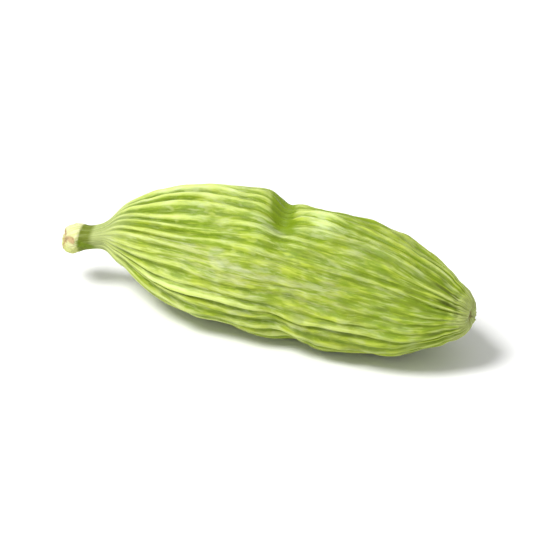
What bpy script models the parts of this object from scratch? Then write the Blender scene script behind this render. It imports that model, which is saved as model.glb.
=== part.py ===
# Green cardamom pod: a ribbed, three-sided husk with a stub of stalk and a blunt tip, grown as one piece.
# It lies on one of its three faces, with the stalk towards -X and the tip towards +X.
from types import SimpleNamespace

import bpy
import numpy as np

MM = 0.001
SEED = 9338

# Outline from the sunken middle of the stalk's cut end to the sunken middle of the tip.
# Each point: distance along the pod, radius, rows of mesh up to this point.
# Every size and distance along the pod is in millimetres.
OUTLINE = (
    (0.42, 0.00, 0),
    (0.32, 0.40, 2),
    (0.42, 0.61, 1),
    (0.92, 0.76, 2),
    (1.60, 0.60, 2),
    (2.45, 0.71, 2),
    (3.60, 1.68, 3),
    (6.00, 2.66, 6),
    (9.00, 3.22, 6),
    (12.00, 3.52, 7),
    (15.50, 3.42, 7),
    (18.20, 2.88, 6),
    (20.10, 2.14, 4),
    (20.80, 1.74, 2),
    (21.06, 1.50, 1),
    (21.50, 1.26, 1),
    (21.95, 0.66, 2),
    (21.88, 0.28, 1),
    (21.80, 0.00, 1),
)
LENGTH = 22.0
STALK_END = 1.9
NECK_END = 5.0
SHOULDER = 7.0
TIP_START = 19.6
TIP_END = 21.6
FLAT_CUT = 0.27

# The stalk is cut aslant, so that its end turns forwards and up a little.
CUT_FORWARDS = 0.60
CUT_UPWARDS = 0.30
CUT_SPAN = (0.3, 1.5)

# Rounded triangle: one corner on top, and two low down at the front and the back.
# The corners round off again at the end of the tip.
FACES = 3
CORNER = 0.072
TIP_CORNER = 0.10
TIP_CORNER_SPAN = (17.6, 20.6)
ROUND_OFF = 0.7
ROUND_OFF_SPAN = (20.9, 21.6)
TOP_DEG = 90.0
TWIST_DEG = 8.0

# The middle line sinks and swings a little at both ends.
STALK_DROOP = 0.70
STALK_SWING = -0.30
DROOP_SPAN = 4.6
DROOP_CURVE = 1.4
TIP_DROOP = 0.26
TIP_SWING = -0.55
TIP_BEND_START = 13.5
BELLY_BEND = 0.22

# Ribs run from the neck to the tip, twelve on each face, with a strong one along each corner.
RIBS = 36
RIBS_PER_FACE = 12
COLUMNS_PER_RIB = 3
RIB_HEIGHT_SHARE = 0.024
CREST_CURVE = 1.0
FURROW_CURVE = 1.5
CORNER_RIB = 1.25
CORNER_FURROW = 1.50
RIB_SIZES = (0.25, 1.60)
RIB_SIZE_CURVE = 1.6
FURROW_SIZES = (0.40, 1.30)
RIB_SHIFT = 0.30

# Single ribs and furrows that stand out or hardly show: number from the top corner, size.
# The furrow with a rib's number follows that rib.
SINGLE_RIBS = ((3, 1.4), (10, 1.5), (11, 0.2))
SINGLE_FURROWS = ((1, 1.6), (4, 1.6), (10, 1.4))

# Ribs start low on the stalk, where every third one shows. They stand higher at the neck and over the tip.
STALK_RIB = 0.90
STALK_RIB_STEP = 3
RIB_RISE_SPAN = (1.9, 4.0)
LOW_HEIGHT = 0.45
HEIGHT_SPAN = (1.4, 2.6)
NECK_RISE = 0.80
NECK_RISE_AT = 4.4
NECK_RISE_SPREAD = 1.9
TIP_RISE = 0.70
TIP_RISE_AT = 20.9
TIP_RISE_SPREAD = 0.9

# Each rib sways sideways, and swells and thins out in two waves.
SWAYS = (0.04, 0.22)
SWAY_RATES = (0.35, 0.95)
SWELL_RATES = (0.55, 1.60)
SWELL = 0.30
SHORT_SWELL = 0.26
SHORT_SWELL_RATE = 1.7
FURROW_SWELL = 0.25

# Where the ribs lie low: distance along, angle round the pod, half length, half width in degrees, share lost.
LOW_RIBS = (
    (15.2, 150.0, 3.0, 32.0, 0.55),
    (17.0, 108.0, 2.0, 16.0, 0.40),
    (9.6, 140.0, 2.2, 16.0, 0.35),
    (16.0, 15.0, 2.6, 30.0, 0.50),
    (8.5, 290.0, 2.6, 32.0, 0.45),
)

# Furrows between the three lobes of the tip
LOBE_FURROW_SHARE = 0.14
LOBE_FURROW_SHARPNESS = 12
LOBE_FURROW_AT = 20.9
LOBE_FURROW_SPREAD = 0.9

# Broad lumps under the ribs: the more waves one makes, the lower it is. The underside is calmer.
LUMPS = 16
LUMP_HEIGHT = 0.11
LUMP_TURNS = (1, 8)
LUMP_RATE = 1.5
LUMP_BASE = 0.8
LUMP_TURN_LOSS = 0.3
LUMP_RATE_LOSS = 0.9
LUMP_LOSS_CURVE = 1.2
UNDERNEATH = (0.3, 0.9)
CALM = 0.7

# Dents and bumps: distance along, angle round the pod, depth, half length, half width in degrees.
HOLLOW_LEAN = 0.012
HOLLOWS = (
    (12.05, 96.0, 0.76, 0.50, 27.0),
    (13.20, 90.0, 0.22, 0.55, 20.0),
    (14.30, 72.0, 0.66, 2.10, 36.0),
    (10.80, 84.0, -0.14, 0.90, 26.0),
    (17.70, 75.0, 0.06, 1.20, 28.0),
    (12.50, 204.0, 0.26, 0.50, 12.0),
    (13.40, 226.0, 0.34, 0.50, 16.0),
    (14.90, 210.0, -0.10, 1.10, 14.0),
    (9.70, 226.0, 0.24, 0.80, 16.0),
    (3.85, 222.0, 0.32, 0.80, 30.0),
    (17.20, 228.0, 0.12, 1.00, 14.0),
    (20.20, 236.0, 0.28, 0.80, 20.0),
    (4.30, 80.0, -0.17, 1.10, 34.0),
    (6.80, 128.0, 0.12, 1.10, 14.0),
    (16.60, 168.0, 0.12, 1.60, 14.0),
    (9.20, 20.0, 0.34, 1.30, 20.0),
    (15.20, 345.0, 0.30, 1.20, 18.0),
    (6.40, 315.0, 0.18, 1.00, 16.0),
)

# Dry pale green husk
HUSK_GREEN = (0.44, 0.54, 0.14, 1.0)
HUSK_ROUGHNESS = 0.6


def smooth_step(low, high, at):
    part = np.clip((at - low) / (high - low), 0.0, 1.0)
    return part * part * (3.0 - 2.0 * part)


def soft_spot(along, facing, where, angle, half_length, half_width):
    """One in the middle of a spot on the skin, easing to zero round it. Broad spots lean with the ribs."""
    aside = (facing - angle + 180.0) % 360.0 - 180.0
    fall = ((along - where - HOLLOW_LEAN * aside) / half_length) ** 2 + (aside / half_width) ** 2
    return np.exp(-0.5 * fall)


def row_places(finer):
    """Places on the outline where the mesh has its rows, with each step cut into this many."""
    places = [0.0]
    for index in range(1, len(OUTLINE)):
        steps = OUTLINE[index][2] * finer
        places += [index - 1 + (step + 1) / steps for step in range(steps)]
    return np.array(places)


def outline_at(places):
    """Distance along and radius on a smooth curve through the outline's points."""
    points = np.array(OUTLINE)[:, :2]
    path = np.vstack([points[1] * (1, -1), points, points[-2] * (1, -1)])
    gaps = np.linalg.norm(np.diff(path, axis=0), axis=1)[:, None] ** 0.5
    index = np.minimum(places.astype(int), len(points) - 2)
    first, second, third, fourth = (path[index + step] for step in range(4))
    gap_a, gap_b, gap_c = (gaps[index + step] for step in range(3))
    middle = (third - second) / gap_b
    lean_b = ((second - first) / gap_a - (third - first) / (gap_a + gap_b) + middle) * gap_b
    lean_c = ((fourth - third) / gap_c - (fourth - second) / (gap_b + gap_c) + middle) * gap_b
    part = (places - index)[:, None]
    square = part**2
    cube = part**3
    curve = (2 * cube - 3 * square + 1) * second + (3 * square - 2 * cube) * third
    return curve + (cube - 2 * square + part) * lean_b + (cube - square) * lean_c


def pod_traits():
    """Seeded differences between the ribs, and the broad lumps under them."""
    random = np.random.default_rng(SEED)
    is_corner = np.arange(RIBS) % RIBS_PER_FACE == 0
    beside_corner = is_corner | np.roll(is_corner, -1)
    traits = SimpleNamespace()
    traits.shift = np.where(is_corner, 0.0, random.uniform(-RIB_SHIFT, RIB_SHIFT, RIBS))
    size = RIB_SIZES[0] + (RIB_SIZES[1] - RIB_SIZES[0]) * random.uniform(0.0, 1.0, RIBS) ** RIB_SIZE_CURVE
    traits.size = np.where(is_corner, CORNER_RIB, size)
    traits.furrow = np.where(beside_corner, CORNER_FURROW, random.uniform(*FURROW_SIZES, RIBS))
    for number, single in SINGLE_RIBS:
        traits.size[number] = single
    for number, single in SINGLE_FURROWS:
        traits.furrow[number] = single
    traits.on_stalk = np.where(np.arange(RIBS) % STALK_RIB_STEP == 0, STALK_RIB, 0.0)
    traits.sway = random.uniform(*SWAYS, RIBS)
    traits.sway_rate = random.uniform(*SWAY_RATES, RIBS)
    traits.sway_start = random.uniform(0.0, 2 * np.pi, RIBS)
    traits.swell_rate = random.uniform(*SWELL_RATES, (RIBS, 2))
    traits.swell_start = random.uniform(0.0, 2 * np.pi, (RIBS, 2))
    traits.lump_turns = random.integers(*LUMP_TURNS, LUMPS)
    traits.lump_rate = random.uniform(-LUMP_RATE, LUMP_RATE, LUMPS)
    traits.lump_start = random.uniform(0.0, 2 * np.pi, LUMPS)
    waves = LUMP_BASE + LUMP_TURN_LOSS * traits.lump_turns + LUMP_RATE_LOSS * np.abs(traits.lump_rate)
    traits.lump_size = LUMP_HEIGHT / waves**LUMP_LOSS_CURVE
    return traits


def rib_angles(along, rib_at, traits):
    """Angle of each column from the top corner, in radians: the ribs sway a little along the pod."""
    low = np.floor(rib_at).astype(int)
    high = (low + 1) % RIBS
    sway = traits.shift + traits.sway * np.sin(traits.sway_rate * along + traits.sway_start)
    sway = sway[:, low] * (1 - rib_at + low) + sway[:, high] * (rib_at - low)
    return np.radians(360 / RIBS * (rib_at + sway))


def body_reach(along, radius, turns, facing, traits):
    """Distance from the middle line to the skin under the ribs: rounded triangle, lumps, dents and lobes."""
    corners = CORNER * smooth_step(STALK_END, SHOULDER, along)
    corners = corners + (TIP_CORNER - CORNER) * smooth_step(*TIP_CORNER_SPAN, along)
    corners = corners * (1 - ROUND_OFF * smooth_step(*ROUND_OFF_SPAN, along))
    reach = radius * (1 + corners * np.cos(FACES * turns))

    on_body = smooth_step(STALK_END, NECK_END, along) * (1 - smooth_step(TIP_START, TIP_END, along))
    underneath = smooth_step(*UNDERNEATH, -np.sin(np.radians(facing)))
    for index in range(LUMPS):
        wave = traits.lump_turns[index] * turns + traits.lump_rate[index] * along + traits.lump_start[index]
        reach = reach + traits.lump_size[index] * np.cos(wave) * on_body * (1 - CALM * underneath)

    for where, angle, depth, half_length, half_width in HOLLOWS:
        reach = reach - depth * soft_spot(along, facing, where, angle, half_length, half_width)

    between_lobes = np.abs(np.sin(FACES / 2 * turns)) ** LOBE_FURROW_SHARPNESS
    pinch = np.exp(-0.5 * ((along - LOBE_FURROW_AT) / LOBE_FURROW_SPREAD) ** 2)
    return reach - LOBE_FURROW_SHARE * radius * between_lobes * pinch


def rib_relief(along, radius, rib_at, facing, traits):
    """Height of the ribs over the skin, and below it in the furrows."""
    low = np.floor(rib_at).astype(int)
    near = np.round(rib_at).astype(int) % RIBS
    crest = (0.5 + 0.5 * np.cos(2 * np.pi * rib_at)) ** CREST_CURVE
    furrow = (0.5 - 0.5 * np.cos(2 * np.pi * rib_at)) ** FURROW_CURVE
    swell = 1 + SWELL * np.sin(traits.swell_rate[:, 0] * along + traits.swell_start[:, 0])
    short_rate = SHORT_SWELL_RATE * traits.swell_rate[:, 1]
    swell = swell + SHORT_SWELL * np.sin(short_rate * along + traits.swell_start[:, 1])
    size = traits.size * swell
    size = size * (traits.on_stalk + (1 - traits.on_stalk) * smooth_step(*RIB_RISE_SPAN, along))
    depth = traits.furrow * (1 - FURROW_SWELL + FURROW_SWELL * swell)
    height = RIB_HEIGHT_SHARE * radius
    height = height * (LOW_HEIGHT + (1 - LOW_HEIGHT) * smooth_step(*HEIGHT_SPAN, along))
    height = height * (1 + NECK_RISE * np.exp(-0.5 * ((along - NECK_RISE_AT) / NECK_RISE_SPREAD) ** 2))
    height = height * (1 + TIP_RISE * np.exp(-0.5 * ((along - TIP_RISE_AT) / TIP_RISE_SPREAD) ** 2))
    for where, angle, half_length, half_width, share in LOW_RIBS:
        height = height * (1 - share * soft_spot(along, facing, where, angle, half_length, half_width))
    return height * (size[:, near] * crest - depth[:, low] * furrow)


def pod_points(finer_rows, columns_per_rib):
    """Points of the husk in rows and columns. Each column follows one rib or furrow."""
    traits = pod_traits()
    outline = outline_at(row_places(finer_rows))
    along = outline[:, :1]
    radius = outline[:, 1:]
    rib_at = np.arange(RIBS * columns_per_rib) / columns_per_rib
    turns = rib_angles(along, rib_at, traits)
    facing = np.degrees(turns) + TOP_DEG + TWIST_DEG * (along / LENGTH - 0.5)
    reach = body_reach(along, radius, turns, facing, traits)
    reach = reach + rib_relief(along, radius, rib_at, facing, traits)

    droop = (1 - smooth_step(0.0, DROOP_SPAN, along)) ** DROOP_CURVE
    tip = smooth_step(TIP_BEND_START, LENGTH, along)
    middle_y = STALK_SWING * droop + TIP_SWING * tip + BELLY_BEND * np.sin(np.pi * along / LENGTH)
    middle_z = -STALK_DROOP * droop - TIP_DROOP * tip
    aside = reach * np.cos(np.radians(facing))
    above = reach * np.sin(np.radians(facing))
    slant = (CUT_UPWARDS * above - CUT_FORWARDS * aside) * (1 - smooth_step(*CUT_SPAN, along))
    return np.stack([along + slant, middle_y + aside, middle_z + above], axis=2)


def seated(points, like):
    """The points with the middle of the box over the origin and the underside cut level at the floor."""
    spread = like.reshape(-1, 3)
    middle = (spread.max(axis=0) + spread.min(axis=0)) / 2
    floor = spread[:, 2].min() + FLAT_CUT
    moved = points - (middle[0], middle[1], floor)
    moved[..., 2] = np.maximum(moved[..., 2], 0.0)
    return moved


def pod_mesh(points):
    """A closed mesh: the rows joined side by side, with the first and the last each drawn to one point."""
    rows, columns = points.shape[:2]
    inner = points[1:-1].reshape(-1, 3)
    verts = np.vstack([points[0].mean(axis=0), inner, points[-1].mean(axis=0)]) * MM
    tip = len(verts) - 1
    last_row = tip - columns
    faces = []
    for column in range(columns):
        beside = (column + 1) % columns
        faces.append((0, 1 + beside, 1 + column))
        for start in range(1, last_row, columns):
            after = start + columns
            faces.append((start + column, start + beside, after + beside, after + column))
        faces.append((last_row + column, last_row + beside, tip))
    mesh = bpy.data.meshes.new("cardamom_pod")
    mesh.from_pydata(verts.tolist(), [], faces)
    mesh.update()
    for polygon in mesh.polygons:
        polygon.use_smooth = True
    return mesh


for old in list(bpy.data.objects):
    bpy.data.objects.remove(old, do_unlink=True)

coarse = pod_points(1, COLUMNS_PER_RIB)
pod = bpy.data.objects.new("cardamom_pod", pod_mesh(seated(coarse, coarse)))
bpy.context.scene.collection.objects.link(pod)

husk = bpy.data.materials.new("husk")
husk.use_nodes = True
shader = husk.node_tree.nodes["Principled BSDF"]
shader.inputs["Base Color"].default_value = HUSK_GREEN
shader.inputs["Roughness"].default_value = HUSK_ROUGHNESS
shader.inputs["Metallic"].default_value = 0.0
pod.data.materials.append(husk)
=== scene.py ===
# Looks of the green cardamom pod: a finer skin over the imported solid, its material, floor, camera and light
import math
from collections import namedtuple
from types import SimpleNamespace

import bpy
import numpy as np
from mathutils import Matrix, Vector


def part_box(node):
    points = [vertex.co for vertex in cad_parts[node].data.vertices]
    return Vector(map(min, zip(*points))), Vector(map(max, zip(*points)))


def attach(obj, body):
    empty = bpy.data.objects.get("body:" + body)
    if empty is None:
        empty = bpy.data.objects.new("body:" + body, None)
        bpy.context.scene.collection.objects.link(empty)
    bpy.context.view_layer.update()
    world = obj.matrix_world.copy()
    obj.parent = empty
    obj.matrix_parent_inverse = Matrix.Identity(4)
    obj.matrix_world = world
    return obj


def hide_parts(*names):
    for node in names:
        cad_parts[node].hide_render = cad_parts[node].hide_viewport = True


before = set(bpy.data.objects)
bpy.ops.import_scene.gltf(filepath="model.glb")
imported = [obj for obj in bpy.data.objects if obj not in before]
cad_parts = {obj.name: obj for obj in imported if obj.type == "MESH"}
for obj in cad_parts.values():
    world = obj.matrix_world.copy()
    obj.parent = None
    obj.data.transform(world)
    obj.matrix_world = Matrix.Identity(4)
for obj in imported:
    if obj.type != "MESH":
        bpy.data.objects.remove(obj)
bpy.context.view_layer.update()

# The pod's form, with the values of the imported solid

MM = 0.001
SEED = 9338

# Outline from the sunken middle of the stalk's cut end to the sunken middle of the tip.
# Each point: distance along the pod, radius, rows of mesh up to this point.
# Every size and distance along the pod is in millimetres.
OUTLINE = (
    (0.42, 0.00, 0),
    (0.32, 0.40, 2),
    (0.42, 0.61, 1),
    (0.92, 0.76, 2),
    (1.60, 0.60, 2),
    (2.45, 0.71, 2),
    (3.60, 1.68, 3),
    (6.00, 2.66, 6),
    (9.00, 3.22, 6),
    (12.00, 3.52, 7),
    (15.50, 3.42, 7),
    (18.20, 2.88, 6),
    (20.10, 2.14, 4),
    (20.80, 1.74, 2),
    (21.06, 1.50, 1),
    (21.50, 1.26, 1),
    (21.95, 0.66, 2),
    (21.88, 0.28, 1),
    (21.80, 0.00, 1),
)
LENGTH = 22.0
STALK_END = 1.9
NECK_END = 5.0
SHOULDER = 7.0
TIP_START = 19.6
TIP_END = 21.6
FLAT_CUT = 0.27

# The stalk is cut aslant, so that its end turns forwards and up a little.
CUT_FORWARDS = 0.60
CUT_UPWARDS = 0.30
CUT_SPAN = (0.3, 1.5)

# Rounded triangle: one corner on top, and two low down at the front and the back.
# The corners round off again at the end of the tip.
FACES = 3
CORNER = 0.072
TIP_CORNER = 0.10
TIP_CORNER_SPAN = (17.6, 20.6)
ROUND_OFF = 0.7
ROUND_OFF_SPAN = (20.9, 21.6)
TOP_DEG = 90.0
TWIST_DEG = 8.0

# The middle line sinks and swings a little at both ends.
STALK_DROOP = 0.70
STALK_SWING = -0.30
DROOP_SPAN = 4.6
DROOP_CURVE = 1.4
TIP_DROOP = 0.26
TIP_SWING = -0.55
TIP_BEND_START = 13.5
BELLY_BEND = 0.22

# Ribs run from the neck to the tip, twelve on each face, with a strong one along each corner.
RIBS = 36
RIBS_PER_FACE = 12
COLUMNS_PER_RIB = 3
RIB_HEIGHT_SHARE = 0.024
CREST_CURVE = 1.0
FURROW_CURVE = 1.5
CORNER_RIB = 1.25
CORNER_FURROW = 1.50
RIB_SIZES = (0.25, 1.60)
RIB_SIZE_CURVE = 1.6
FURROW_SIZES = (0.40, 1.30)
RIB_SHIFT = 0.30

# Single ribs and furrows that stand out or hardly show: number from the top corner, size.
# The furrow with a rib's number follows that rib.
SINGLE_RIBS = ((3, 1.4), (10, 1.5), (11, 0.2))
SINGLE_FURROWS = ((1, 1.6), (4, 1.6), (10, 1.4))

# Ribs start low on the stalk, where every third one shows. They stand higher at the neck and over the tip.
STALK_RIB = 0.90
STALK_RIB_STEP = 3
RIB_RISE_SPAN = (1.9, 4.0)
LOW_HEIGHT = 0.45
HEIGHT_SPAN = (1.4, 2.6)
NECK_RISE = 0.80
NECK_RISE_AT = 4.4
NECK_RISE_SPREAD = 1.9
TIP_RISE = 0.70
TIP_RISE_AT = 20.9
TIP_RISE_SPREAD = 0.9

# Each rib sways sideways, and swells and thins out in two waves.
SWAYS = (0.04, 0.22)
SWAY_RATES = (0.35, 0.95)
SWELL_RATES = (0.55, 1.60)
SWELL = 0.30
SHORT_SWELL = 0.26
SHORT_SWELL_RATE = 1.7
FURROW_SWELL = 0.25

# Where the ribs lie low: distance along, angle round the pod, half length, half width in degrees, loss.
LOW_RIBS = (
    (15.2, 150.0, 3.0, 32.0, 0.55),
    (17.0, 108.0, 2.0, 16.0, 0.40),
    (9.6, 140.0, 2.2, 16.0, 0.35),
    (16.0, 15.0, 2.6, 30.0, 0.50),
    (8.5, 290.0, 2.6, 32.0, 0.45),
)

# Furrows between the three lobes of the tip
LOBE_FURROW_SHARE = 0.14
LOBE_FURROW_SHARPNESS = 12
LOBE_FURROW_AT = 20.9
LOBE_FURROW_SPREAD = 0.9

# Broad lumps under the ribs: the more waves one makes, the lower it is. The underside is calmer.
LUMPS = 16
LUMP_HEIGHT = 0.11
LUMP_TURNS = (1, 8)
LUMP_RATE = 1.5
LUMP_BASE = 0.8
LUMP_TURN_LOSS = 0.3
LUMP_RATE_LOSS = 0.9
LUMP_LOSS_CURVE = 1.2
UNDERNEATH = (0.3, 0.9)
CALM = 0.7

# Dents and bumps: distance along, angle round the pod, depth, half length, half width in degrees.
HOLLOW_LEAN = 0.012
HOLLOWS = (
    (12.05, 96.0, 0.76, 0.50, 27.0),
    (13.20, 90.0, 0.22, 0.55, 20.0),
    (14.30, 72.0, 0.66, 2.10, 36.0),
    (10.80, 84.0, -0.14, 0.90, 26.0),
    (17.70, 75.0, 0.06, 1.20, 28.0),
    (12.50, 204.0, 0.26, 0.50, 12.0),
    (13.40, 226.0, 0.34, 0.50, 16.0),
    (14.90, 210.0, -0.10, 1.10, 14.0),
    (9.70, 226.0, 0.24, 0.80, 16.0),
    (3.85, 222.0, 0.32, 0.80, 30.0),
    (17.20, 228.0, 0.12, 1.00, 14.0),
    (20.20, 236.0, 0.28, 0.80, 20.0),
    (4.30, 80.0, -0.17, 1.10, 34.0),
    (6.80, 128.0, 0.12, 1.10, 14.0),
    (16.60, 168.0, 0.12, 1.60, 14.0),
    (9.20, 20.0, 0.34, 1.30, 20.0),
    (15.20, 345.0, 0.30, 1.20, 18.0),
    (6.40, 315.0, 0.18, 1.00, 16.0),
)

# The finer skin: rows for each row of the solid, and columns for each rib
SKIN_ROWS = 5
SKIN_COLUMNS = 9

# Room round the edge of the unwrapping, as a share of its width
EDGE_ROOM = 0.01

# Radius of the ring on which the material reads its noise, so that it joins up round the pod
FIBRE_RING = 3.4

# Rows and columns to each side over which the skin is averaged, to tell low places from high ones
BLUR_ROWS = 5
BLUR_COLUMNS = 4

# The least height that a rib counts as having, when its relief is read as a share of it
LEAST_RIB = 0.02

# Heights of the fine relief
CREST_EDGE = 0.016
HALF_RIB = 0.032
FIBRE = 0.018
WRINKLE = 0.026
PAPER = 0.040
NUB_CREASE = 0.10
KNOB_GRAIN = 0.030
TORN = 0.035

# The fine relief comes up on the neck, is full where the pod is thick, and fades over the tip.
FINE_SPAN = (2.0, 4.5)
FINE_TIP_SPAN = (20.6, 21.5)
FINE_TIP_LOSS = 0.6
FULL_FINE_RADIUS = 3.0
LEAST_FINE = 0.35

# Noise over the skin: length of a cell along the pod, cells round it, seed
DRIFT_NOISE = (1.9, 72, 11)
SHORT_DRIFT_NOISE = (0.6, 108, 21)
CREST_NOISE = (1.5, 36, 18)
HALF_RIB_NOISE = (2.4, 36, 19)
FIBRE_NOISE = (1.5, 108, 12)
SHORT_FIBRE_NOISE = (0.7, 108, 13)
WRINKLED_NOISE = (1.6, 30, 14)
WRINKLE_NOISE = (0.27, 60, 15)
PAPER_NOISE = (0.95, 36, 16)
SHORT_PAPER_NOISE = (0.45, 72, 17)
NUB_DEPTH_NOISE = (30.0, 18, 31)
NUB_PLACE_NOISE = (30.0, 18, 32)
GRAIN_NOISE = (0.16, 27, 33)
SCORE_NOISE = (0.9, 27, 34)
TORN_NOISE = (0.5, 36, 41)

# Crest lines, half ribs and fibres drift off the ribs. Drifts and widths are shares of a rib's width.
DRIFT = 0.30
SHORT_DRIFT = 0.10
CREST_WIDTH = 0.13
HALF_RIB_WIDTH = 0.14
SHORT_FIBRES = 0.5

# Values of their noise between which crest lines, half ribs and wrinkles come up
CREST_SHOWS = (-0.5, 0.5)
HALF_RIB_SHOWS = (-0.1, 0.5)
WRINKLE_SHOWS = (-0.1, 0.6)

# Short wrinkles, lower on the crests, and slack papery skin, both more withered towards the tip
WRINKLE_SWAY = 0.5
WRINKLE_ON_CREST = 0.4
SHORT_PAPER = 0.5
WITHERED = 0.5
WITHERED_SPAN = (10.5, 14.0)

# The crease round the nub at the end of the tip: its place and how far it wanders, its width, and its
# depth as shares of the full one, with a place where it is deeper.
NUB_AT = 21.42
NUB_WANDER = 0.12
NUB_CREASE_WIDTH = 0.09
NUB_MEAN_DEPTH = 0.45
NUB_DEPTH_VARIES = 0.55
NUB_MOST_DEPTH = 1.2
NUB_DEEPER = ((21.4, 140.0, 1.0, 40.0, 0.7),)

# Deep folds round the tip: distance along, angle round the pod, half length, half width in degrees, depth.
FOLDS = (
    (20.66, 102.0, 0.30, 3.0, 0.08),
    (20.85, 115.0, 0.55, 2.6, 0.13),
    (20.90, 135.4, 0.32, 3.0, 0.13),
    (20.60, 172.0, 0.40, 3.0, 0.07),
    (20.70, 212.0, 0.40, 3.5, 0.08),
)

# Grain of the knob and scored lines up the stalk: where each fades out along it, the height of the lines
# as a share of the grain's, and the radius over which both come up on the cut.
GRAIN_SPAN = (1.0, 1.5)
SCORE_SPAN = (2.2, 3.4)
SCORE = 0.7
CUT_RIM_SPAN = (0.0, 0.5)

# Torn fibres at the stalk's cut and at the scar, with two waves over the cut: rate and start of each
TORN_STALK_SPAN = (0.40, 0.75)
TORN_TIP_SPAN = (21.45, 21.75)
TORN_WAVES = ((9, 2), (11, 1))

# Painted light and shade: places painted paler where light falls on them (above zero), or deeper green where
# shade falls, in the notch, the dimples, the folds of the tip and under the ring (below zero):
# distance along, angle round the pod, half length, half width in degrees, amount.
PAINTED_LIGHT_AND_SHADE = (
    (1.60, 200.0, 0.30, 40.0, -2.0),
    (11.4, 68.0, 0.45, 13.0, -2.6),
    (11.8, 86.0, 0.50, 12.0, -2.6),
    (12.2, 103.0, 0.50, 9.0, -2.4),
    (12.7, 116.0, 0.45, 6.0, -1.2),
    (12.7, 96.0, 0.40, 3.0, 1.6),
    (14.2, 100.0, 0.70, 13.0, 1.3),
    (6.6, 80.0, 3.2, 26.0, 0.9),
    (5.4, 103.0, 1.3, 4.0, -0.6),
    (5.2, 135.0, 0.9, 4.0, -0.5),
    (9.6, 123.0, 1.2, 8.0, -0.5),
    (7.2, 188.0, 3.0, 3.6, 1.0),
    (8.0, 203.0, 2.8, 4.5, -0.9),
    (12.5, 205.0, 0.50, 8.0, -0.9),
    (13.7, 208.0, 0.60, 9.0, 0.6),
    (18.6, 150.0, 1.6, 18.0, -0.5),
    (16.5, 132.0, 1.8, 12.0, -0.4),
    (19.8, 104.0, 0.50, 5.0, -1.0),
    (20.66, 102.0, 0.25, 3.5, -1.2),
    (20.30, 114.0, 0.40, 2.5, -1.2),
    (20.85, 115.0, 0.35, 2.5, -1.5),
    (21.35, 117.0, 0.20, 4.0, -1.8),
    (20.85, 135.0, 0.30, 2.5, -1.7),
    (21.15, 136.0, 0.15, 3.5, -1.2),
    (21.30, 126.0, 0.15, 3.5, 1.4),
    (21.50, 136.0, 0.08, 9.0, -1.6),
    (21.55, 154.0, 0.08, 10.0, -1.6),
    (21.60, 174.0, 0.08, 12.0, -1.5),
    (20.2, 190.0, 0.45, 8.0, -0.7),
)

# Greyish, powdery places, in the same terms
BLOOMS = (
    (8.3, 152.0, 1.1, 9.0, 0.7),
    (10.8, 166.0, 1.2, 9.0, 0.7),
    (13.6, 172.0, 0.6, 10.0, 0.7),
    (15.5, 164.0, 0.6, 20.0, 0.6),
    (16.7, 116.0, 0.5, 8.0, 0.5),
    (19.5, 108.0, 0.4, 6.0, 0.5),
    (9.0, 330.0, 1.2, 12.0, 0.5),
    (14.0, 20.0, 1.0, 14.0, 0.5),
    (6.5, 275.0, 0.9, 12.0, 0.5),
    (17.0, 285.0, 1.0, 14.0, 0.5),
)

# Where the tan of the cut end runs up the stalk's side, in the same terms
STAINS = ((0.55, 153.0, 0.26, 15.0, 1.0),)

# Noise of the husk's material: how fine it is across and along the fibres, scale, detail, roughness
PATCHES = (1.0, 0.7, 0.45, 3.0, 0.5)
MOTTLE = (1.0, 0.6, 1.9, 4.0, 0.6)
STREAKS = (5.0, 0.6, 1.0, 3.0, 0.6)
HAIRS = (12.0, 1.0, 1.0, 2.0, 0.6)
DASHES = (3.2, 0.9, 1.0, 2.0, 0.6)
GRAIN = (1.0, 1.0, 13.0, 3.0, 0.6)
SHADE = (1.8, 0.8, 1.0, 3.0, 0.6)
PITH = (1.0, 1.0, 3.0, 4.0, 0.65)

# Values of a noise between which it adds to what a colour follows, and between which it blends two colours
NOISE_SPAN = (0.3, 0.7)
BLEND_SPAN = (0.35, 0.65)
TIGHT_BLEND_SPAN = (0.35, 0.60)

# Pairs of colours that are blended, as red, green and blue from 0 to 255
GREENS = ((122, 148, 30), (156, 170, 60))
FURROW_GREENS = ((116, 142, 22), (134, 154, 34))
CREST_GREENS = ((168, 186, 78), (190, 204, 108))
CREAMS = ((196, 200, 130), (214, 212, 166))
# Greens of the painted shade in the notch, under the ring and in the folds of the tip
SHADE_GREENS = ((114, 138, 0), (84, 97, 20))
NUB_GREENS = ((142, 152, 78), (172, 182, 112))
TANS = ((150, 116, 76), (186, 158, 112))

# Layers of colour, each over the ones before it: the values between which it comes in, its share when full,
# and its colour, where that isn't a blended pair.
Layer = namedtuple("Layer", "start full share colour", defaults=(1.0, None))
FURROWS = Layer(0.0, -1.4)
CRESTS = Layer(0.2, 1.6)
# Painted shade: darker green in the low places of the fine relief, where shade would gather
SHADED_HOLLOWS = Layer(-0.01, -0.08, 0.65, (104, 126, 20))
HIGH_PLACES = Layer(0.01, 0.07, 0.50, (198, 212, 116))
POWDER = Layer(0.1, 1.0, 1.0, (172, 178, 120))
DARK_HAIRS = Layer(0.50, 0.30, 0.35, (104, 122, 22))
PALE_HAIRS = Layer(0.52, 0.72, 0.35, (206, 216, 130))
DARK_GRAINS = Layer(0.62, 0.78, 0.35, (98, 104, 34))
PALE_GRAINS = Layer(0.38, 0.25, 0.30, (196, 204, 138))
DARK_DASHES = Layer(0.53, 0.66, 1.0, (96, 114, 22))
PALE_DASHES = Layer(0.46, 0.34, 1.0, (200, 209, 136))
# Darker towards the tip: partly the husk's more olive green, partly painted shade on the half turned away
# from the light
OLIVE_AND_SHADED_TIP_HALF = Layer(11.0, 17.0, 0.22, (112, 128, 26))
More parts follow.
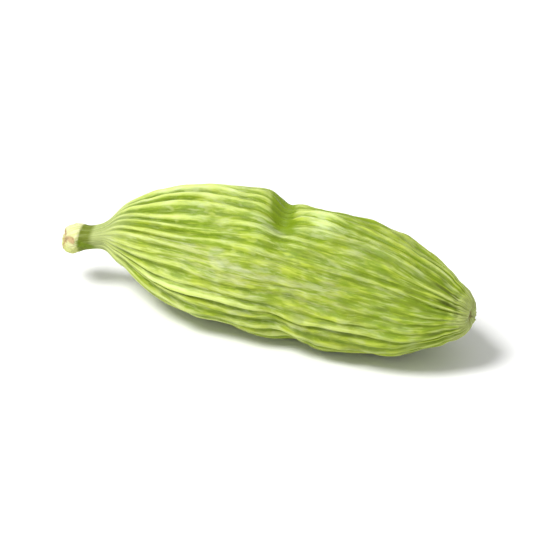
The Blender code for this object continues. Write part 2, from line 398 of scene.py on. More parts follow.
# Painted highlights on the places that face the light, where the painted light lies above zero
PAINTED_HIGHLIGHTS = Layer(0.4, 1.6, 0.80, (204, 220, 146))
NECK = Layer(5.0, 2.2, 0.70, (174, 184, 124))
CREAM = Layer(1.45, 1.15)
CREAM_BELOW = Layer(1.0, -2.5, 0.8, (186, 194, 98))
# Painted shade: a dark green ring in the groove behind the stalk's knob
GROOVE_SHADE = Layer(1.12, 1.30, 1.0, (104, 118, 18))
# Painted shade: deep green where the painted light and shade lies far below zero
PAINTED_SHADE = Layer(-0.8, -1.9, 0.90)
CUT = Layer(0.52, 0.20, 0.85)
STAIN = Layer(0.3, 0.7, 0.90)
NUB = Layer(21.2, 21.8, 0.85)
SCAR = Layer(0.40, 0.14, 0.7, (122, 106, 60))

# Noise added to what a colour follows, so that its edge is ragged
RIB_RAGGED = 0.5
RELIEF_RAGGED = 0.02
POWDER_RAGGED = 0.4
# Ragged edge of the painted highlights
HIGHLIGHT_RAGGED = 0.4
# Ragged edge of the painted shade
SHADE_RAGGED = 0.3
CUT_RAGGED = 0.26
STAIN_RAGGED = 0.12
NUB_RAGGED = 0.5
SCAR_RAGGED = 0.22

# How the layers change from place to place: the values between which they do, and what they go from and to.
# Crests are broader by the stalk, powder shows most on pale hairs, and dashes change along the pod.
CRESTS_ALONG = (4.0, 17.0, 0.55, -0.65)
POWDER_SHARES = (0.35, 0.75)
DARK_DASHES_ALONG = (9.0, 18.0, 0.15, 0.48)
PALE_DASHES_ALONG = (6.0, 18.0, 0.35, 0.30)
# The painted shade of the groove fades out towards the neck and is mottled
GROOVE_SHADE_FADE = (2.05, 1.70)
GROOVE_SHADE_MOTTLE = (0.3, 0.55, 0.70, 1.0)
# The green of the painted shade turns darker towards the tip's folds
SHADE_GREENS_ALONG = (18.0, 20.0)
CUT_ALONG = (0.60, 0.44)
SCAR_ALONG = (21.6, 21.8)

# Here and there the green is yellower, mostly in the furrows, or duller: values between which it turns
# so, and what its red, green and blue are multiplied by.
VIVID_SPAN = (0.46, 0.60)
VIVID_BY_RIB = (0.9, -0.5, 0.15, 1.0)
VIVID = (0.97, 1.0, 0.40)
DULL_SPAN = (0.49, 0.36)
DULL = (1.0, 1.0, 1.35)

# Surface of the husk: roughness from streak to streak, specular level, how much light goes in and how far,
# and the bump of hairs and grain.
HUSK_ROUGHNESS = (0.48, 0.66)
HUSK_SPECULAR = 0.28
SUBSURFACE = 0.15
SUBSURFACE_RADIUS = (1.0, 1.0, 0.35)
SUBSURFACE_DEPTH = 0.4
BUMP_STRENGTH = 0.5
BUMP_DEPTH = 0.07
BUMP_HAIRS = 0.6
BUMP_GRAIN = 0.4

# Floor: half its width in metres, and its surface
FLOOR_HALF = 3.0
FLOOR_WHITE = (0.86, 0.86, 0.86, 1.0)
FLOOR_ROUGHNESS = 0.7
FLOOR_SPECULAR = 0.2

# Camera: its angles, its lens, how wide the view is at the pod, the height that it looks at as a share of
# the pod's, and the range that it sees, in metres.
VIEW_AZIMUTH_DEG = 22.0
VIEW_ELEVATION_DEG = 30.0
LENS_MM = 300.0
SENSOR_MM = 36.0
VIEW_WIDTH = 26.2
TARGET_HEIGHT = 0.42
CLIP_START = 0.01
CLIP_END = 20.0

# Light: where the key comes from, as parts of the view's right, away over the floor, and up, its strength
# and width, and the sky's strength at the horizon and overhead, with the rise between which it changes.
KEY_FROM = (-0.46, -0.20, 0.82)
KEY_STRENGTH = 3.3
KEY_WIDTH_DEG = 24.0
HORIZON = 1.0
FILL = 0.60
SKY_SPAN = (0.12, 0.35)


def smooth_step(low, high, at):
    part = np.clip((at - low) / (high - low), 0.0, 1.0)
    return part * part * (3.0 - 2.0 * part)


def bell(off, width):
    """One in the middle of a bell curve, easing to zero to each side."""
    return np.exp(-0.5 * (off / width) ** 2)


def soft_spot(along, facing, where, angle, half_length, half_width):
    """One in the middle of a spot on the skin, easing to zero round it. Broad spots lean with the ribs."""
    aside = (facing - angle + 180.0) % 360.0 - 180.0
    fall = ((along - where - HOLLOW_LEAN * aside) / half_length) ** 2 + (aside / half_width) ** 2
    return np.exp(-0.5 * fall)


def row_places(finer):
    """Places on the outline where the mesh has its rows, with each step cut into this many."""
    places = [0.0]
    for index in range(1, len(OUTLINE)):
        steps = OUTLINE[index][2] * finer
        places += [index - 1 + (step + 1) / steps for step in range(steps)]
    return np.array(places)


def outline_at(places):
    """Distance along and radius on a smooth curve through the outline's points."""
    points = np.array(OUTLINE)[:, :2]
    path = np.vstack([points[1] * (1, -1), points, points[-2] * (1, -1)])
    gaps = np.linalg.norm(np.diff(path, axis=0), axis=1)[:, None] ** 0.5
    index = np.minimum(places.astype(int), len(points) - 2)
    first, second, third, fourth = (path[index + step] for step in range(4))
    gap_a, gap_b, gap_c = (gaps[index + step] for step in range(3))
    middle = (third - second) / gap_b
    lean_b = ((second - first) / gap_a - (third - first) / (gap_a + gap_b) + middle) * gap_b
    lean_c = ((fourth - third) / gap_c - (fourth - second) / (gap_b + gap_c) + middle) * gap_b
    part = (places - index)[:, None]
    square = part**2
    cube = part**3
    curve = (2 * cube - 3 * square + 1) * second + (3 * square - 2 * cube) * third
    return curve + (cube - 2 * square + part) * lean_b + (cube - square) * lean_c


def pod_traits():
    """Seeded differences between the ribs, and the broad lumps under them."""
    random = np.random.default_rng(SEED)
    is_corner = np.arange(RIBS) % RIBS_PER_FACE == 0
    beside_corner = is_corner | np.roll(is_corner, -1)
    traits = SimpleNamespace()
    traits.shift = np.where(is_corner, 0.0, random.uniform(-RIB_SHIFT, RIB_SHIFT, RIBS))
    size = RIB_SIZES[0] + (RIB_SIZES[1] - RIB_SIZES[0]) * random.uniform(0.0, 1.0, RIBS) ** RIB_SIZE_CURVE
    traits.size = np.where(is_corner, CORNER_RIB, size)
    traits.furrow = np.where(beside_corner, CORNER_FURROW, random.uniform(*FURROW_SIZES, RIBS))
    for number, single in SINGLE_RIBS:
        traits.size[number] = single
    for number, single in SINGLE_FURROWS:
        traits.furrow[number] = single
    traits.on_stalk = np.where(np.arange(RIBS) % STALK_RIB_STEP == 0, STALK_RIB, 0.0)
    traits.sway = random.uniform(*SWAYS, RIBS)
    traits.sway_rate = random.uniform(*SWAY_RATES, RIBS)
    traits.sway_start = random.uniform(0.0, 2 * np.pi, RIBS)
    traits.swell_rate = random.uniform(*SWELL_RATES, (RIBS, 2))
    traits.swell_start = random.uniform(0.0, 2 * np.pi, (RIBS, 2))
    traits.lump_turns = random.integers(*LUMP_TURNS, LUMPS)
    traits.lump_rate = random.uniform(-LUMP_RATE, LUMP_RATE, LUMPS)
    traits.lump_start = random.uniform(0.0, 2 * np.pi, LUMPS)
    waves = LUMP_BASE + LUMP_TURN_LOSS * traits.lump_turns + LUMP_RATE_LOSS * np.abs(traits.lump_rate)
    traits.lump_size = LUMP_HEIGHT / waves**LUMP_LOSS_CURVE
    return traits


def rib_angles(along, rib_at, traits):
    """Angle of each column from the top corner, in radians: the ribs sway a little along the pod."""
    low = np.floor(rib_at).astype(int)
    high = (low + 1) % RIBS
    sway = traits.shift + traits.sway * np.sin(traits.sway_rate * along + traits.sway_start)
    sway = sway[:, low] * (1 - rib_at + low) + sway[:, high] * (rib_at - low)
    return np.radians(360 / RIBS * (rib_at + sway))


def body_reach(along, radius, turns, facing, traits):
    """Distance from the middle line to the skin under the ribs: rounded triangle, lumps, dents, lobes."""
    corners = CORNER * smooth_step(STALK_END, SHOULDER, along)
    corners = corners + (TIP_CORNER - CORNER) * smooth_step(*TIP_CORNER_SPAN, along)
    corners = corners * (1 - ROUND_OFF * smooth_step(*ROUND_OFF_SPAN, along))
    reach = radius * (1 + corners * np.cos(FACES * turns))

    on_body = smooth_step(STALK_END, NECK_END, along) * (1 - smooth_step(TIP_START, TIP_END, along))
    underneath = smooth_step(*UNDERNEATH, -np.sin(np.radians(facing)))
    for index in range(LUMPS):
        wave = traits.lump_turns[index] * turns + traits.lump_rate[index] * along + traits.lump_start[index]
        reach = reach + traits.lump_size[index] * np.cos(wave) * on_body * (1 - CALM * underneath)

    for where, angle, depth, half_length, half_width in HOLLOWS:
        reach = reach - depth * soft_spot(along, facing, where, angle, half_length, half_width)

    between_lobes = np.abs(np.sin(FACES / 2 * turns)) ** LOBE_FURROW_SHARPNESS
    pinch = bell(along - LOBE_FURROW_AT, LOBE_FURROW_SPREAD)
    return reach - LOBE_FURROW_SHARE * radius * between_lobes * pinch


def rib_relief(along, radius, rib_at, facing, traits):
    """Height of the ribs over the skin, and below it in the furrows."""
    low = np.floor(rib_at).astype(int)
    near = np.round(rib_at).astype(int) % RIBS
    crest = (0.5 + 0.5 * np.cos(2 * np.pi * rib_at)) ** CREST_CURVE
    furrow = (0.5 - 0.5 * np.cos(2 * np.pi * rib_at)) ** FURROW_CURVE
    swell = 1 + SWELL * np.sin(traits.swell_rate[:, 0] * along + traits.swell_start[:, 0])
    short_rate = SHORT_SWELL_RATE * traits.swell_rate[:, 1]
    swell = swell + SHORT_SWELL * np.sin(short_rate * along + traits.swell_start[:, 1])
    size = traits.size * swell
    size = size * (traits.on_stalk + (1 - traits.on_stalk) * smooth_step(*RIB_RISE_SPAN, along))
    depth = traits.furrow * (1 - FURROW_SWELL + FURROW_SWELL * swell)
    height = RIB_HEIGHT_SHARE * radius
    height = height * (LOW_HEIGHT + (1 - LOW_HEIGHT) * smooth_step(*HEIGHT_SPAN, along))
    height = height * (1 + NECK_RISE * bell(along - NECK_RISE_AT, NECK_RISE_SPREAD))
    height = height * (1 + TIP_RISE * bell(along - TIP_RISE_AT, TIP_RISE_SPREAD))
    for where, angle, half_length, half_width, share in LOW_RIBS:
        height = height * (1 - share * soft_spot(along, facing, where, angle, half_length, half_width))
    return height * (size[:, near] * crest - depth[:, low] * furrow)


def seated(points, like):
    """The points with the middle of the box over the origin and the underside cut level at the floor."""
    spread = like.reshape(-1, 3)
    middle = (spread.max(axis=0) + spread.min(axis=0)) / 2
    floor = spread[:, 2].min() + FLAT_CUT
    moved = points - (middle[0], middle[1], floor)
    moved[..., 2] = np.maximum(moved[..., 2], 0.0)
    return moved


def ring_noise(along, rib_at, cell_along, cells_round, seed):
    """Smooth noise from -1 to 1 over the skin, which joins up round the pod."""
    # The cells start one before the stalk's end, and there are some to spare past the tip.
    cells_along = int(LENGTH / cell_along) + 4
    lattice = np.random.default_rng(seed).uniform(-1.0, 1.0, (cells_along, cells_round))
    row = np.clip(along / cell_along + 1.0, 0.0, cells_along - 1.001)
    column = rib_at / RIBS * cells_round
    row_low = np.floor(row).astype(int)
    column_low = np.floor(column).astype(int)
    row_part = smooth_step(0.0, 1.0, row - row_low)
    column_part = smooth_step(0.0, 1.0, column - column_low)
    near = column_low % cells_round
    far = (column_low + 1) % cells_round
    before = lattice[row_low, near] * (1 - column_part) + lattice[row_low, far] * column_part
    after = lattice[row_low + 1, near] * (1 - column_part) + lattice[row_low + 1, far] * column_part
    return before * (1 - row_part) + after * row_part


def spots(along, facing, places):
    """Sum of soft spots at these places."""
    total = 0.0
    for where, angle, half_length, half_width, amount in places:
        total = total + amount * soft_spot(along, facing, where, angle, half_length, half_width)
    return total


def fibre_lines(along, rib_at, drift):
    """Crest lines, half ribs in the furrows, and fibres, all of which drift off the ribs a little."""
    bent = rib_at + drift
    crest = bell(bent - np.round(bent), CREST_WIDTH)
    crest = crest * smooth_step(*CREST_SHOWS, ring_noise(along, rib_at, *CREST_NOISE))
    half = bell(bent - np.floor(bent) - 0.5, HALF_RIB_WIDTH)
    half = half * smooth_step(*HALF_RIB_SHOWS, ring_noise(along, rib_at, *HALF_RIB_NOISE))
    fibres = ring_noise(along, bent, *FIBRE_NOISE)
    fibres = fibres + SHORT_FIBRES * ring_noise(along, rib_at, *SHORT_FIBRE_NOISE)
    return CREST_EDGE * crest + HALF_RIB * half + FIBRE * fibres


def wrinkled_skin(along, rib_at, drift):
    """Short wrinkles, and the slack of papery skin."""
    in_furrow = 0.5 - 0.5 * np.cos(2 * np.pi * rib_at)
    where = smooth_step(*WRINKLE_SHOWS, ring_noise(along, rib_at, *WRINKLED_NOISE))
    wrinkles = ring_noise(along + WRINKLE_SWAY * drift, rib_at, *WRINKLE_NOISE) * where
    wrinkles = wrinkles * (WRINKLE_ON_CREST + (1 - WRINKLE_ON_CREST) * in_furrow)
    paper = ring_noise(along, rib_at, *PAPER_NOISE)
    paper = paper + SHORT_PAPER * ring_noise(along, rib_at, *SHORT_PAPER_NOISE)
    return (1 + WITHERED * smooth_step(*WITHERED_SPAN, along)) * (WRINKLE * wrinkles + PAPER * paper)


def nub_crease(along, rib_at, facing):
    """Depth of the crease round the nub."""
    depth = NUB_MEAN_DEPTH + NUB_DEPTH_VARIES * ring_noise(along, rib_at, *NUB_DEPTH_NOISE)
    depth = np.clip(depth + spots(along, facing, NUB_DEEPER), 0.0, NUB_MOST_DEPTH)
    place = NUB_AT + NUB_WANDER * ring_noise(along, rib_at, *NUB_PLACE_NOISE)
    return NUB_CREASE * (bell(along - place, NUB_CREASE_WIDTH) * depth)


def stalk_grain(along, radius, rib_at):
    """Grain of the stalk's knob, and scored lines that run on up to the neck."""
    grain = ring_noise(along, rib_at, *GRAIN_NOISE) * (1 - smooth_step(*GRAIN_SPAN, along))
    scored = ring_noise(along, rib_at, *SCORE_NOISE) * (1 - smooth_step(*SCORE_SPAN, along)) * SCORE
    return KNOB_GRAIN * (grain + scored) * smooth_step(*CUT_RIM_SPAN, radius)


def fine_relief(along, radius, rib_at, facing):
    """Height of all that is finer than the ribs."""
    whole = np.zeros(np.broadcast(along, rib_at).shape)
    along = along + whole
    rib_at = rib_at + whole
    on_body = smooth_step(*FINE_SPAN, along) * (1 - FINE_TIP_LOSS * smooth_step(*FINE_TIP_SPAN, along))
    size = np.clip(radius / FULL_FINE_RADIUS, LEAST_FINE, 1.0)
    drift = DRIFT * ring_noise(along, rib_at, *DRIFT_NOISE)
    drift = drift + SHORT_DRIFT * ring_noise(along, rib_at, *SHORT_DRIFT_NOISE)
    relief = size * on_body * (fibre_lines(along, rib_at, drift) + wrinkled_skin(along, rib_at, drift))
    relief = relief - nub_crease(along, rib_at, facing) - spots(along, facing, FOLDS)
    return relief + stalk_grain(along, radius, rib_at)


def torn_ends(along, rib_at, aside, above):
    """How far the fibres stand out of the stalk's cut and of the scar at the tip."""
    at_end = (1 - smooth_step(*TORN_STALK_SPAN, along)) + smooth_step(*TORN_TIP_SPAN, along)
    (rate_aside, start_aside), (rate_above, start_above) = TORN_WAVES
    waves = np.cos(rate_aside * aside + start_aside) * np.sin(rate_above * above + start_above)
    return TORN * (ring_noise(along, rib_at, *TORN_NOISE) + waves) * at_end


def blurred(values, rows, columns):
    """The values averaged over so many rows and columns to each side, joined up round the pod."""
    total = sum(np.roll(values, step, axis=1) for step in range(-columns, columns + 1))
    padded = np.pad(total / (2 * columns + 1), ((rows, rows), (0, 0)), mode="edge")
    return sum(padded[step : step + len(values)] for step in range(2 * rows + 1)) / (2 * rows + 1)


def pod_skin(finer_rows, columns_per_rib, with_fine):
    """Points of the husk in rows and columns, with what the material reads at each of them."""
    traits = pod_traits()
    outline = outline_at(row_places(finer_rows))
    along = outline[:, :1]
    radius = outline[:, 1:]
    rib_at = np.arange(RIBS * columns_per_rib) / columns_per_rib
    turns = rib_angles(along, rib_at, traits)
    facing = np.degrees(turns) + TOP_DEG + TWIST_DEG * (along / LENGTH - 0.5)
    ribs = rib_relief(along, radius, rib_at, facing, traits)
    reach = body_reach(along, radius, turns, facing, traits) + ribs
    if with_fine:
        reach = reach + fine_relief(along, radius, rib_at, facing)

    droop = (1 - smooth_step(0.0, DROOP_SPAN, along)) ** DROOP_CURVE
    tip = smooth_step(TIP_BEND_START, LENGTH, along)
    middle_y = STALK_SWING * droop + TIP_SWING * tip + BELLY_BEND * np.sin(np.pi * along / LENGTH)
    middle_z = -STALK_DROOP * droop - TIP_DROOP * tip
    aside = reach * np.cos(np.radians(facing))
    above = reach * np.sin(np.radians(facing))
    slant = (CUT_UPWARDS * above - CUT_FORWARDS * aside) * (1 - smooth_step(*CUT_SPAN, along))
    if with_fine:
        slant = slant + torn_ends(along, rib_at, aside, above)
    skin = SimpleNamespace()
    skin.points = np.stack([along + slant, middle_y + aside, middle_z + above], axis=2)
    whole = np.zeros(reach.shape)
    ring = np.radians(360 / RIBS * rib_at)
    round_x = FIBRE_RING * np.cos(ring) + whole
    round_y = FIBRE_RING * np.sin(ring) + whole
    skin.fibre = np.stack([round_x, round_y, along + whole], axis=2)
    skin.across = np.stack([aside, above, along + whole], axis=2)
    skin.values = {
        "along": along + whole,
        "radius": radius + whole,
        "rib": ribs / np.maximum(RIB_HEIGHT_SHARE * radius, LEAST_RIB),
        # How far the skin sinks below or stands above its surroundings; the material paints shade in its low
        # places
        "relief": reach - blurred(reach, BLUR_ROWS, BLUR_COLUMNS),
        # Painted light and shade: paler where light falls, deeper green where shade falls
        "tone": spots(along, facing, PAINTED_LIGHT_AND_SHADE),
        "bloom": spots(along, facing, BLOOMS),
        "stain": spots(along, facing, STAINS),
    }
    return skin


def add_unwrapping(mesh, points):
    """The skin rolled out flat: once round the pod across, and from the stalk to the tip upwards."""
    rows, columns = points.shape[:2]
    steps = np.linalg.norm(np.diff(points, axis=0), axis=2).mean(axis=1)
    up = np.concatenate([[0.0], np.cumsum(steps)]) / steps.sum()
    across = np.arange(columns + 1) / columns
    # Each column of faces has a triangle at both ends and quads between them.
    places = np.empty((columns, 3 + 4 * (rows - 3) + 3, 2))
    left = across[:-1, None]
    right = across[1:, None]
    middle = (left + right) / 2
    places[:, :3, 0] = np.hstack([middle, right, left])
    places[:, :3, 1] = (up[0], up[1], up[1])
    places[:, 3:-3, 0] = np.tile(np.hstack([left, right, right, left]), rows - 3)
    places[:, 3:-3, 1] = np.stack([up[1:-2], up[1:-2], up[2:-1], up[2:-1]], axis=1).ravel()
    places[:, -3:, 0] = np.hstack([left, right, middle])
    places[:, -3:, 1] = (up[-2], up[-2], up[-1])
    layer = mesh.uv_layers.new(name="OFBake")
    layer.data.foreach_set("uv", (EDGE_ROOM + (1 - 2 * EDGE_ROOM) * places).ravel().astype(np.float32))


def pod_piece():
    """The finer husk as an object, with an unwrapping and what its material reads."""
    coarse = pod_skin(1, COLUMNS_PER_RIB, False)
    skin = pod_skin(SKIN_ROWS, SKIN_COLUMNS, True)
    points = seated(skin.points, coarse.points)
    rows, columns = points.shape[:2]

    def by_vertex(grid):
        grid = grid.reshape(rows, columns, -1)
        between = grid[1:-1].reshape(-1, grid.shape[2])
        return np.vstack([grid[0].mean(axis=0), between, grid[-1].mean(axis=0)])

    verts = by_vertex(points) * MM
    tip = len(verts) - 1
    last_row = tip - columns
    faces = []
    for column in range(columns):
        beside = (column + 1) % columns
        faces.append((0, 1 + beside, 1 + column))
        for start in range(1, last_row, columns):
            after = start + columns
            faces.append((start + column, start + beside, after + beside, after + column))
        faces.append((last_row + column, last_row + beside, tip))
    mesh = bpy.data.meshes.new("husk_skin")
    mesh.from_pydata(verts.tolist(), [], faces)
    mesh.update()
    mesh.polygons.foreach_set("use_smooth", np.ones(len(mesh.polygons), dtype=bool))
    add_unwrapping(mesh, points)

    for name, grid in skin.values.items():
        attribute = mesh.attributes.new(name, "FLOAT", "POINT")
        attribute.data.foreach_set("value", by_vertex(grid).ravel().astype(np.float32))
    for name, grid in (("fibre", skin.fibre), ("across", skin.across)):
        attribute = mesh.attributes.new(name, "FLOAT_VECTOR", "POINT")
        attribute.data.foreach_set("vector", by_vertex(grid).ravel().astype(np.float32))

    piece = bpy.data.objects.new("husk_skin", mesh)
    bpy.context.scene.collection.objects.link(piece)
    return piece


def linear_part(value):
    """One part of an sRGB colour, from 0 to 255, as a part of a linear one."""
    part = value / 255
    return part / 12.92 if part <= 0.04045 else ((part + 0.055) / 1.055) ** 2.4


def linear(red, green, blue):
    """An sRGB colour as the linear colour that a shader takes."""
    return (linear_part(red), linear_part(green), linear_part(blue), 1.0)


class Nodes:
    """Short calls that add shader nodes and join them."""

    def __init__(self, owner):
        owner.use_nodes = True
        self.tree = owner.node_tree

    def add(self, kind):
        return self.tree.nodes.new(kind)

    def put(self, socket, value):
        if isinstance(value, bpy.types.NodeSocket):
            self.tree.links.new(value, socket)
        else:
            socket.default_value = value

    def math(self, operation, *values):
        node = self.add("ShaderNodeMath")
        node.operation = operation
        for index, value in enumerate(values):
            self.put(node.inputs[index], value)
        return node.outputs[0]

    def attribute(self, name, out="Fac"):
        node = self.add("ShaderNodeAttribute")
        node.attribute_name = name
        return node.outputs[out]

    def part(self, vector, name):
        node = self.add("ShaderNodeSeparateXYZ")
        self.put(node.inputs[0], vector)
        return node.outputs[name]

    def span(self, value, low, high, to_low=0.0, to_high=1.0):
        """The value eased from one span to another."""
        node = self.add("ShaderNodeMapRange")
        node.interpolation_type = "SMOOTHSTEP"
        ends = {"From Min": low, "From Max": high, "To Min": to_low, "To Max": to_high}
        for name, number in ends.items():
            node.inputs[name].default_value = number
        self.put(node.inputs["Value"], value)
        return node.outputs[0]

    def mix(self, factor, first, second):
        """Two colours mixed, by the sockets that the node has for colours."""
        node = self.add("ShaderNodeMix")
        node.data_type = "RGBA"
        self.put(node.inputs[0], factor)
        self.put(node.inputs[6], first)
        self.put(node.inputs[7], second)
        return node.outputs[2]

    def scaled(self, vector, by):
        node = self.add("ShaderNodeVectorMath")
        node.operation = "MULTIPLY"
        self.put(node.inputs[0], vector)
        node.inputs[1].default_value = by
        return node.outputs[0]

    def noise(self, vector, across, along, scale, detail, roughness):
        """Noise over the skin, finer or coarser across the fibres than along them."""
        node = self.add("ShaderNodeTexNoise")
        self.put(node.inputs["Vector"], self.scaled(vector, (across, across, along)))
        node.inputs["Scale"].default_value = scale
        node.inputs["Detail"].default_value = detail
        node.inputs["Roughness"].default_value = roughness
        return node.outputs[0]

    def ragged(self, value, noise, amount):
        """The value with so much noise added to it or taken away."""
        return self.math("ADD", value, self.span(noise, *NOISE_SPAN, -amount, amount))

    def blend(self, value, pair, span=BLEND_SPAN):
        """A pair of colours, blended as the value goes through the span."""
        return self.mix(self.span(value, *span), linear(*pair[0]), linear(*pair[1]))

    def strength(self, value, layer):
        """How strong a layer is where the value lies in its span."""
        return self.span(value, layer.start, layer.full, 0.0, layer.share)

    def cover(self, under, value, layer, *shares, over=None):
        """A layer over the colour under it, as strong as the value and the shares make it."""
        factor = self.strength(value, layer)
        for share in shares:
            factor = self.math("MULTIPLY", factor, share)
        return self.mix(factor, under, linear(*layer.colour) if over is None else over)


def husk_reads(nodes):
    """What the husk's colours follow: values that the skin carries, and noise along its fibres."""
    reads = SimpleNamespace()
    reads.along = nodes.attribute("along")
    reads.radius = nodes.attribute("radius")
    reads.relief = nodes.attribute("relief")
    # Painted light and shade that the skin carries
    reads.tone = nodes.attribute("tone")
    reads.bloom = nodes.attribute("bloom")
    reads.stain = nodes.attribute("stain")
    reads.fibre = nodes.attribute("fibre", "Vector")
    reads.patches = nodes.noise(reads.fibre, *PATCHES)
    reads.mottle = nodes.noise(reads.fibre, *MOTTLE)
    reads.streaks = nodes.noise(reads.fibre, *STREAKS)
    reads.hairs = nodes.noise(reads.fibre, *HAIRS)
    reads.dashes = nodes.noise(reads.fibre, *DASHES)
    reads.grain = nodes.noise(reads.fibre, *GRAIN)
    reads.shade = nodes.noise(reads.fibre, *SHADE)
    reads.pith = nodes.noise(nodes.attribute("across", "Vector"), *PITH)
    raised = nodes.ragged(nodes.attribute("rib"), reads.streaks, RIB_RAGGED)
    # The painted light and shade, with the crests' broadening by the stalk, also shift the ribs' colours.
    tone = nodes.math("ADD", reads.tone, nodes.span(reads.along, *CRESTS_ALONG))
    reads.raised = nodes.math("ADD", raised, tone)
    return reads


def ribbed_colour(nodes, reads):
    """Green skin with deeper furrows, pale crests, painted shade in the low places of the fine relief, and
    paler high places.
    """
    colour = nodes.blend(reads.patches, GREENS)
    colour = nodes.cover(colour, reads.raised, FURROWS, over=nodes.blend(reads.mottle, FURROW_GREENS))
    colour = nodes.cover(colour, reads.raised, CRESTS, over=nodes.blend(reads.streaks, CREST_GREENS))
    relief = nodes.ragged(reads.relief, reads.hairs, RELIEF_RAGGED)
    # Painted shade in the low places
    colour = nodes.cover(colour, relief, SHADED_HOLLOWS)
    return nodes.cover(colour, relief, HIGH_PLACES)


def flecked_colour(nodes, reads, colour):
    """Powdery places, hairs, grains and dashes, a darker half towards the tip that is partly more olive husk
    and partly painted shade, and painted highlights.
    """
    powder = nodes.ragged(reads.bloom, reads.streaks, POWDER_RAGGED)
    on_hairs = nodes.span(reads.hairs, *TIGHT_BLEND_SPAN, *POWDER_SHARES)
    colour = nodes.cover(colour, powder, POWDER, on_hairs)
    colour = nodes.cover(colour, reads.hairs, DARK_HAIRS)
    colour = nodes.cover(colour, reads.hairs, PALE_HAIRS)
    colour = nodes.cover(colour, reads.grain, DARK_GRAINS)
    colour = nodes.cover(colour, reads.grain, PALE_GRAINS)
    colour = nodes.cover(colour, reads.dashes, DARK_DASHES, nodes.span(reads.along, *DARK_DASHES_ALONG))
    colour = nodes.cover(colour, reads.dashes, PALE_DASHES, nodes.span(reads.along, *PALE_DASHES_ALONG))
    colour = nodes.cover(colour, reads.along, OLIVE_AND_SHADED_TIP_HALF)
    # Painted highlights
    return nodes.cover(colour, nodes.ragged(reads.tone, reads.streaks, HIGHLIGHT_RAGGED), PAINTED_HIGHLIGHTS)


def uneven_colour(nodes, reads, colour):
    """Yellower green here and there, mostly in the furrows, and duller green in other places."""
    vivid = nodes.span(reads.shade, *VIVID_SPAN)
    vivid = nodes.math("MULTIPLY", vivid, nodes.span(reads.raised, *VIVID_BY_RIB))
    colour = nodes.mix(vivid, colour, nodes.scaled(colour, VIVID))
    return nodes.mix(nodes.span(reads.shade, *DULL_SPAN), colour, nodes.scaled(colour, DULL))


def stalk_colour(nodes, reads, colour):
    """A paler neck, a cream knob that is yellower below, and a dark green ring of painted shade in the groove
    behind it.
    """
    colour = nodes.cover(colour, reads.along, NECK)
    cream = nodes.blend(reads.streaks, CREAMS)
    cream = nodes.cover(cream, nodes.part(reads.fibre, "X"), CREAM_BELOW)
    colour = nodes.cover(colour, reads.along, CREAM, over=cream)
    fade = nodes.span(reads.along, *GROOVE_SHADE_FADE)
    return nodes.cover(colour, reads.along, GROOVE_SHADE, fade, nodes.span(reads.mottle, *GROOVE_SHADE_MOTTLE))


def painted_shade_places(nodes, reads, colour):
    """Painted shade: deep green in the notch, low on the ring behind the knob and in the folds of the tip."""
    shade_mask = nodes.ragged(reads.tone, reads.streaks, SHADE_RAGGED)
    shade_green = nodes.blend(reads.along, SHADE_GREENS, SHADE_GREENS_ALONG)
    return nodes.cover(colour, shade_mask, PAINTED_SHADE, over=shade_green)


def end_colour(nodes, reads, colour):
    """Tan pith on the stalk's cut, with a streak up its side, and the greyish nub with its scar."""
    cut = nodes.strength(nodes.ragged(reads.radius, reads.pith, CUT_RAGGED), CUT)
    cut = nodes.math("MULTIPLY", nodes.span(reads.along, *CUT_ALONG), cut)
    stain = nodes.strength(nodes.ragged(reads.stain, reads.pith, STAIN_RAGGED), STAIN)
    tan = nodes.blend(reads.pith, TANS, TIGHT_BLEND_SPAN)
    colour = nodes.mix(nodes.math("MAXIMUM", cut, stain), colour, tan)
    nub = nodes.ragged(reads.along, reads.streaks, NUB_RAGGED)
    colour = nodes.cover(colour, nub, NUB, over=nodes.blend(reads.hairs, NUB_GREENS, TIGHT_BLEND_SPAN))
    scar = nodes.ragged(reads.radius, reads.pith, SCAR_RAGGED)
    return nodes.cover(colour, scar, SCAR, nodes.span(reads.along, *SCAR_ALONG))


def husk_material():
    """Dry papery husk: pale ribs over deeper green furrows, cream stalk, greyish nub and tan cut end."""
    material = bpy.data.materials.new("husk")
    nodes = Nodes(material)
    reads = husk_reads(nodes)
    colour = ribbed_colour(nodes, reads)
    colour = flecked_colour(nodes, reads, colour)
    colour = uneven_colour(nodes, reads, colour)
    colour = stalk_colour(nodes, reads, colour)
    colour = painted_shade_places(nodes, reads, colour)
    colour = end_colour(nodes, reads, colour)

    shader = nodes.tree.nodes["Principled BSDF"]
    nodes.put(shader.inputs["Base Color"], colour)
    nodes.put(shader.inputs["Roughness"], nodes.span(reads.streaks, *NOISE_SPAN, *HUSK_ROUGHNESS))
    shader.inputs["Specular IOR Level"].default_value = HUSK_SPECULAR
    shader.inputs["Subsurface Weight"].default_value = SUBSURFACE
    shader.inputs["Subsurface Radius"].default_value = SUBSURFACE_RADIUS
    shader.inputs["Subsurface Scale"].default_value = SUBSURFACE_DEPTH * MM
    hairs = nodes.math("MULTIPLY", reads.hairs, BUMP_HAIRS)
    grain = nodes.math("MULTIPLY", reads.grain, BUMP_GRAIN)
    bump = nodes.add("ShaderNodeBump")
    bump.inputs["Strength"].default_value = BUMP_STRENGTH
    bump.inputs["Distance"].default_value = BUMP_DEPTH * MM
    nodes.put(bump.inputs["Height"], nodes.math("ADD", hairs, grain))
    nodes.put(shader.inputs["Normal"], bump.outputs[0])
    return material


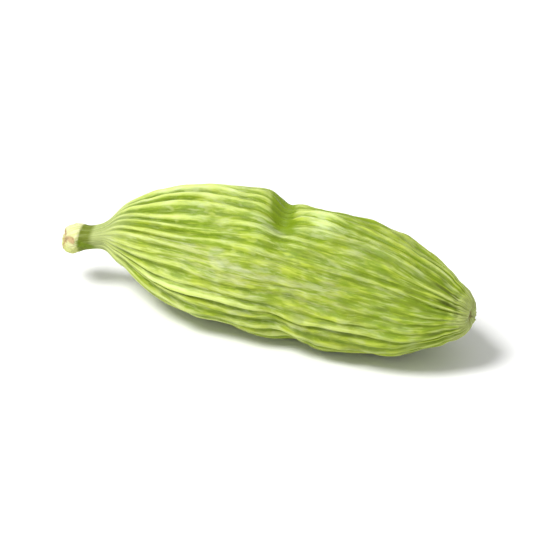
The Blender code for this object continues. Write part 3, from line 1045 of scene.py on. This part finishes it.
def floor_piece():
    """A plain white floor, wide enough for every view."""
    corners = [(x * FLOOR_HALF, y * FLOOR_HALF, 0.0) for x, y in ((-1, -1), (1, -1), (1, 1), (-1, 1))]
    mesh = bpy.data.meshes.new("floor")
    mesh.from_pydata(corners, [], [(0, 1, 2, 3)])
    floor = bpy.data.objects.new("floor", mesh)
    bpy.context.scene.collection.objects.link(floor)
    material = bpy.data.materials.new("floor_white")
    shader = Nodes(material).tree.nodes["Principled BSDF"]
    shader.inputs["Base Color"].default_value = FLOOR_WHITE
    shader.inputs["Roughness"].default_value = FLOOR_ROUGHNESS
    shader.inputs["Specular IOR Level"].default_value = FLOOR_SPECULAR
    mesh.materials.append(material)
    return floor


def view_axes():
    """Right, away over the floor, and back towards the camera."""
    azimuth = math.radians(VIEW_AZIMUTH_DEG)
    elevation = math.radians(VIEW_ELEVATION_DEG)
    right = Vector((math.cos(azimuth), math.sin(azimuth), 0.0))
    away = Vector((-math.sin(azimuth), math.cos(azimuth), 0.0))
    back = Vector((0.0, 0.0, math.sin(elevation))) - away * math.cos(elevation)
    return right, away, back


def add_camera(target):
    _, _, back = view_axes()
    data = bpy.data.cameras.new("camera")
    data.lens = LENS_MM
    data.sensor_width = SENSOR_MM
    data.clip_start = CLIP_START
    data.clip_end = CLIP_END
    camera = bpy.data.objects.new("camera", data)
    camera.location = target + back * (VIEW_WIDTH * MM * LENS_MM / SENSOR_MM)
    camera.rotation_euler = back.to_track_quat("Z", "Y").to_euler()
    bpy.context.scene.collection.objects.link(camera)
    bpy.context.scene.camera = camera


def add_key_light():
    """One soft light from the left."""
    right, away, _ = view_axes()
    direction = right * KEY_FROM[0] + away * KEY_FROM[1] + Vector((0.0, 0.0, KEY_FROM[2]))
    data = bpy.data.lights.new("key", "SUN")
    data.energy = KEY_STRENGTH
    data.angle = math.radians(KEY_WIDTH_DEG)
    lamp = bpy.data.objects.new("key", data)
    lamp.rotation_euler = direction.to_track_quat("Z", "Y").to_euler()
    bpy.context.scene.collection.objects.link(lamp)


def add_sky():
    """White light from all round, brightest at the horizon."""
    world = bpy.data.worlds.new("studio")
    nodes = Nodes(world)
    background = nodes.tree.nodes["Background"]
    background.inputs["Color"].default_value = (1.0, 1.0, 1.0, 1.0)
    up = nodes.part(nodes.add("ShaderNodeTexCoord").outputs["Generated"], "Z")
    nodes.put(background.inputs["Strength"], nodes.span(up, *SKY_SPAN, HORIZON, FILL))
    bpy.context.scene.world = world


pod = pod_piece()
pod.data.materials.append(husk_material())
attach(pod, "root")
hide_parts("cardamom_pod")
floor_piece()

low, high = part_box("cardamom_pod")
add_camera(Vector(((low.x + high.x) / 2, (low.y + high.y) / 2, TARGET_HEIGHT * high.z)))
add_key_light()
add_sky()
bpy.context.scene.view_settings.view_transform = "Standard"
